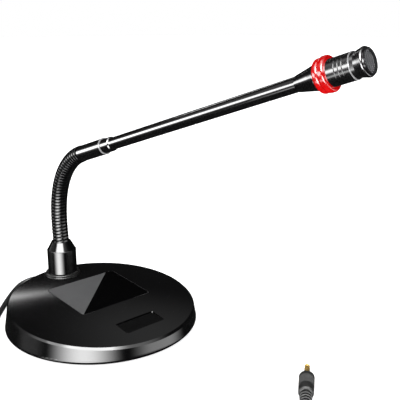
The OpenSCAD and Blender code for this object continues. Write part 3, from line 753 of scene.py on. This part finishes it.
def make_grille():
    """Woven wire over the front of the head, a little domed, inside its ring."""
    low, high, radius = turned("grille_mesh", BOOM)
    mid = (low + high) / 2 - GRILLE_SUNK
    reach = radius - GRILLE_GAP
    points, faces = [], []
    count = int(reach / WIRE_PITCH)
    for along in (0, 1):
        for k in range(-count, count + 1):
            across = k * WIRE_PITCH
            half = math.sqrt(max(reach * reach - across * across, 0))
            n = max(4, round(2 * half / WIRE_STEP))
            base = len(points)
            for i in range(n + 1):
                s = -half + 2 * half * i / n
                over = WIRE_R * math.cos(math.pi * (s / WIRE_PITCH + k + along))
                crown = GRILLE_DOME * (1 - (s * s + across * across) / reach ** 2)
                for q in range(WIRE_SIDES):
                    a = 2 * math.pi * q / WIRE_SIDES
                    u, v = across + WIRE_R * math.cos(a), mid + over + crown + WIRE_R * math.sin(a)
                    points.append(BOOM @ Vector((s, u, v) if along else (u, s, v)))
            for i in range(n):
                for q in range(WIRE_SIDES):
                    a, b = base + i * WIRE_SIDES + q, base + i * WIRE_SIDES + (q + 1) % WIRE_SIDES
                    faces.append((a, b, b + WIRE_SIDES, a + WIRE_SIDES))
            faces.append(tuple(base + q for q in range(WIRE_SIDES))[::-1])
            faces.append(tuple(base + n * WIRE_SIDES + q for q in range(WIRE_SIDES)))
    grille = paint(mesh_object("grille_weave", points, faces, sharp=math.radians(60)), "mesh_steel")
    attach(grille, "boom")
    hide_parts("grille_mesh")


make_grille()


# ---- stage and light ----

FLOOR_HALF = 12
FILL_AZIMUTH, FILL_ELEVATION = math.radians(-70), math.radians(68)
FILL_ENERGY = 3.4
FILL_ANGLE = math.radians(60)
DIM_STUDIO = 0.017      # what gloss mirrors where there is no softbox


def add_floor():
    """White paper, which gloss doesn't mirror, so that black parts stay black from below."""
    mesh = bpy.data.meshes.new("floor")
    corners = [(x * FLOOR_HALF, y * FLOOR_HALF, 0) for x, y in ((-1, -1), (1, -1), (1, 1), (-1, 1))]
    mesh.from_pydata(corners, [], [(0, 1, 2, 3)])
    floor = new_object("floor", mesh)
    f = Finish("floor_paper", (0.8, 0.8, 0.8), 0.9, specular=0.02)
    f.drift(400 * MM, 0.01).bump(1.5 * MM, 0.01 * MM).glow((1, 1, 1), 0.9)
    mesh.materials.append(f.material)
    floor.visible_glossy = False
    floor.visible_shadow = False


def add_fill():
    """Soft light from above for the matt colours and for the shadow under the base."""
    data = bpy.data.lights.new("fill", "SUN")
    data.energy = FILL_ENERGY
    data.angle = FILL_ANGLE
    data.specular_factor = 0
    lamp = bpy.data.objects.new("fill", data)
    scene.collection.objects.link(lamp)
    lamp.rotation_euler = direction(FILL_AZIMUTH, FILL_ELEVATION).to_track_quat("Z", "Y").to_euler()


def hide_from_mirrors():
    """The big glossy parts mirror the softboxes only, not each other."""
    shown = ("head_barrel", "grille_weave", "foam")
    for piece in scene.objects:
        if piece.type in ("MESH", "CURVE") and not piece.name.startswith(shown):
            piece.visible_glossy = False


class Surroundings:
    """Softboxes around the object, as soft patches of the world; the camera itself sees white."""

    def __init__(self):
        world = bpy.data.worlds.new("studio")
        scene.world = world
        world.use_nodes = True
        world.cycles_visibility.diffuse = False
        self.nodes, self.links = world.node_tree.nodes, world.node_tree.links
        place = self.nodes.new("ShaderNodeTexCoord").outputs["Generated"]
        split = self.nodes.new("ShaderNodeSeparateXYZ")
        self.links.new(place, split.inputs["Vector"])
        ahead = self.math("MULTIPLY", split.outputs["Y"], -1)
        self.azimuth = self.math("ARCTAN2", split.outputs["X"], ahead)
        self.elevation = self.math("ARCSINE", split.outputs["Z"])
        self.total = self.value(DIM_STUDIO)

    def value(self, number):
        node = self.nodes.new("ShaderNodeValue")
        node.outputs[0].default_value = number
        return node.outputs[0]

    def math(self, operation, *values):
        node = self.nodes.new("ShaderNodeMath")
        node.operation = operation
        for socket, value in zip(node.inputs, values):
            if isinstance(value, (int, float)):
                socket.default_value = value
            else:
                self.links.new(value, socket)
        return node.outputs[0]

    def falloff(self, distance, half, soft):
        """1 within half of the middle, down to 0 over a soft edge."""
        node = self.nodes.new("ShaderNodeMapRange")
        node.interpolation_type = "SMOOTHSTEP"
        node.inputs["From Min"].default_value = math.radians(max(half - soft / 2, 0))
        node.inputs["From Max"].default_value = math.radians(half + soft / 2)
        node.inputs["To Min"].default_value = 1
        node.inputs["To Max"].default_value = 0
        self.links.new(distance, node.inputs["Value"])
        return node.outputs["Result"]

    def patch(self, azimuth, half_width, side_soft, low, high, soft, strength):
        """A softbox: its middle and half width around, its lower and upper elevation, in degrees."""
        turn = self.math("SUBTRACT", self.azimuth, math.radians(azimuth))
        around = self.math("ABSOLUTE", self.math("WRAP", turn, math.pi, -math.pi))
        rise = self.math("SUBTRACT", self.elevation, math.radians((low + high) / 2))
        share = self.math(
            "MULTIPLY",
            self.falloff(around, half_width, side_soft),
            self.falloff(self.math("ABSOLUTE", rise), (high - low) / 2, soft),
        )
        self.total = self.math("ADD", self.total, self.math("MULTIPLY", share, strength))

    def finish(self):
        seen = self.nodes.new("ShaderNodeLightPath").outputs["Is Camera Ray"]
        blend = self.nodes.new("ShaderNodeMix")
        self.links.new(seen, blend.inputs["Factor"])
        self.links.new(self.total, blend.inputs["A"])
        blend.inputs["B"].default_value = 1.0
        self.links.new(blend.outputs["Result"], self.nodes["Background"].inputs["Strength"])
        self.nodes["Background"].inputs["Color"].default_value = (1, 1, 1, 1)


# The softboxes, in degrees: azimuth, half width, soft sides, lowest, highest, soft ends; then strength.
SOFTBOXES = [
    (-56, 23, 44, -32, 2, 10, 19),        # base's wall, collar, lower neck
    (-48, 34, 16, 31, 51, 8, 24),         # collar's cone
    (-45, 42, 30, 51, 66, 8, 16),         # line on the rim, at the front
    (-45, 95, 60, 38, 66, 14, 2.4),       # line on the rim, further round
    (-127, 20, 14, -8, 11, 8, 9.4),       # stripe along the boom and the head
    (-127, 25, 24, 12, 50, 25, 0.3),      # grey above that stripe
    (164, 12, 16, 28, 29.4, 1.5, 6.6),    # streak on the base's top
    (120, 25, 24, 34.5, 62, 16, 0.29),    # grey of the base's top towards the front
    (-98, 14, 14, -40, -29, 8, 4),        # upper neck
    (34, 26, 30, -16, -4, 6, 4),          # base's wall, right side
    (-124, 15, 20, -20, -10, 6, 0.35),    # base's wall, left side
]


def add_surroundings():
    around = Surroundings()
    for softbox in SOFTBOXES:
        around.patch(*softbox)
    around.finish()


add_floor()
add_fill()
add_surroundings()
hide_from_mirrors()
scene.view_settings.view_transform = "Standard"
